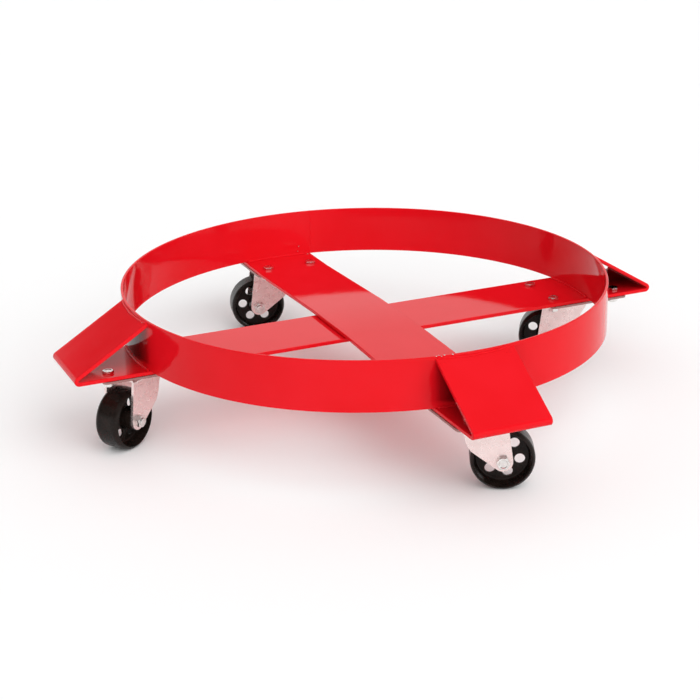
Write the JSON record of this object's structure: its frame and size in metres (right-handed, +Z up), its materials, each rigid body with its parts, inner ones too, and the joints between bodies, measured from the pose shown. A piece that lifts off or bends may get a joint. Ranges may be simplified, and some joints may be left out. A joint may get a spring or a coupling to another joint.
{
  "type": "drum dolly",
  "caption": "Round steel drum dolly: a rolled ring on crossed flat bars whose ends fold up into sloping arms, with a plate-mounted swivel caster under each arm.",
  "frame": {"origin": "on the floor, at the foot of the ring's vertical axis", "axes": "+Z up; +X towards the right arm on the lower bar, +Y towards the rear arm on the upper bar"},
  "size_m": [0.802, 0.802, 0.1686],
  "materials": {
    "red_paint": "high-gloss red enamel over steel",
    "zinc_plate": "satin zinc plate on pressed steel",
    "bright_fastener": "bright zinc fastener",
    "bearing_steel": "polished bearing steel",
    "wheel_black": "semi-gloss black moulded wheel"
  },
  "bodies": {
    "frame": {"ring_band": "red_paint", "ring_seam_weld": "red_paint", "lower_cross_bar": "red_paint", "upper_cross_bar": "red_paint", "ring_foot_welds": "red_paint", "arm_top_welds": "red_paint", "front_caster_plate": "zinc_plate", "front_king_pin": "bright_fastener", "front_lower_race": "zinc_plate", "front_mounting_bolts": "bright_fastener", "front_lock_washers": "bright_fastener", "front_mounting_nuts": "bright_fastener", "left_caster_plate": "zinc_plate", "left_king_pin": "bright_fastener", "left_lower_race": "zinc_plate", "left_mounting_bolts": "bright_fastener", "left_lock_washers": "bright_fastener", "left_mounting_nuts": "bright_fastener", "rear_caster_plate": "zinc_plate", "rear_king_pin": "bright_fastener", "rear_lower_race": "zinc_plate", "rear_mounting_bolts": "bright_fastener", "rear_lock_washers": "bright_fastener", "rear_mounting_nuts": "bright_fastener", "right_caster_plate": "zinc_plate", "right_king_pin": "bright_fastener", "right_lower_race": "zinc_plate", "right_mounting_bolts": "bright_fastener", "right_lock_washers": "bright_fastener", "right_mounting_nuts": "bright_fastener"},
    "front_caster": {"front_swivel_balls": "bearing_steel", "front_fork": "zinc_plate", "front_axle_sleeve": "bearing_steel", "front_axle_bolt": "bright_fastener", "front_axle_nut": "bright_fastener"},
    "front_roller": {"front_wheel": "wheel_black"},
    "left_caster": {"left_swivel_balls": "bearing_steel", "left_fork": "zinc_plate", "left_axle_sleeve": "bearing_steel", "left_axle_bolt": "bright_fastener", "left_axle_nut": "bright_fastener"},
    "left_roller": {"left_wheel": "wheel_black"},
    "rear_caster": {"rear_swivel_balls": "bearing_steel", "rear_fork": "zinc_plate", "rear_axle_sleeve": "bearing_steel", "rear_axle_bolt": "bright_fastener", "rear_axle_nut": "bright_fastener"},
    "rear_roller": {"rear_wheel": "wheel_black"},
    "right_caster": {"right_swivel_balls": "bearing_steel", "right_fork": "zinc_plate", "right_axle_sleeve": "bearing_steel", "right_axle_bolt": "bright_fastener", "right_axle_nut": "bright_fastener"},
    "right_roller": {"right_wheel": "wheel_black"}
  },
  "joints": [
    {"name": "front_swivel", "type": "hinge", "parent": "frame", "child": "front_caster", "pos_m": [0, -0.3083, 0.09], "axis": [0, 0, 1], "continuous": true},
    {"name": "front_wheel_spin", "type": "hinge", "parent": "front_caster", "child": "front_roller", "pos_m": [0.029, -0.32182, 0.0381], "axis": [-0.4226, -0.9063, 0], "continuous": true},
    {"name": "left_swivel", "type": "hinge", "parent": "frame", "child": "left_caster", "pos_m": [-0.3083, 0, 0.09], "axis": [0, 0, 1], "continuous": true},
    {"name": "left_wheel_spin", "type": "hinge", "parent": "left_caster", "child": "left_roller", "pos_m": [-0.33435, -0.01858, 0.0381], "axis": [-0.5807, 0.8141, 0], "continuous": true},
    {"name": "rear_swivel", "type": "hinge", "parent": "frame", "child": "rear_caster", "pos_m": [0, 0.3083, 0.09], "axis": [0, 0, 1], "continuous": true},
    {"name": "rear_wheel_spin", "type": "hinge", "parent": "rear_caster", "child": "rear_roller", "pos_m": [-0.0313, 0.31495, 0.0381], "axis": [0.2079, 0.9781, 0], "continuous": true},
    {"name": "right_swivel", "type": "hinge", "parent": "frame", "child": "right_caster", "pos_m": [0.3083, 0, 0.09], "axis": [0, 0, 1], "continuous": true},
    {"name": "right_wheel_spin", "type": "hinge", "parent": "right_caster", "child": "right_roller", "pos_m": [0.28087, 0.01648, 0.0381], "axis": [0.515, 0.8572, 0], "continuous": true}
  ]
}
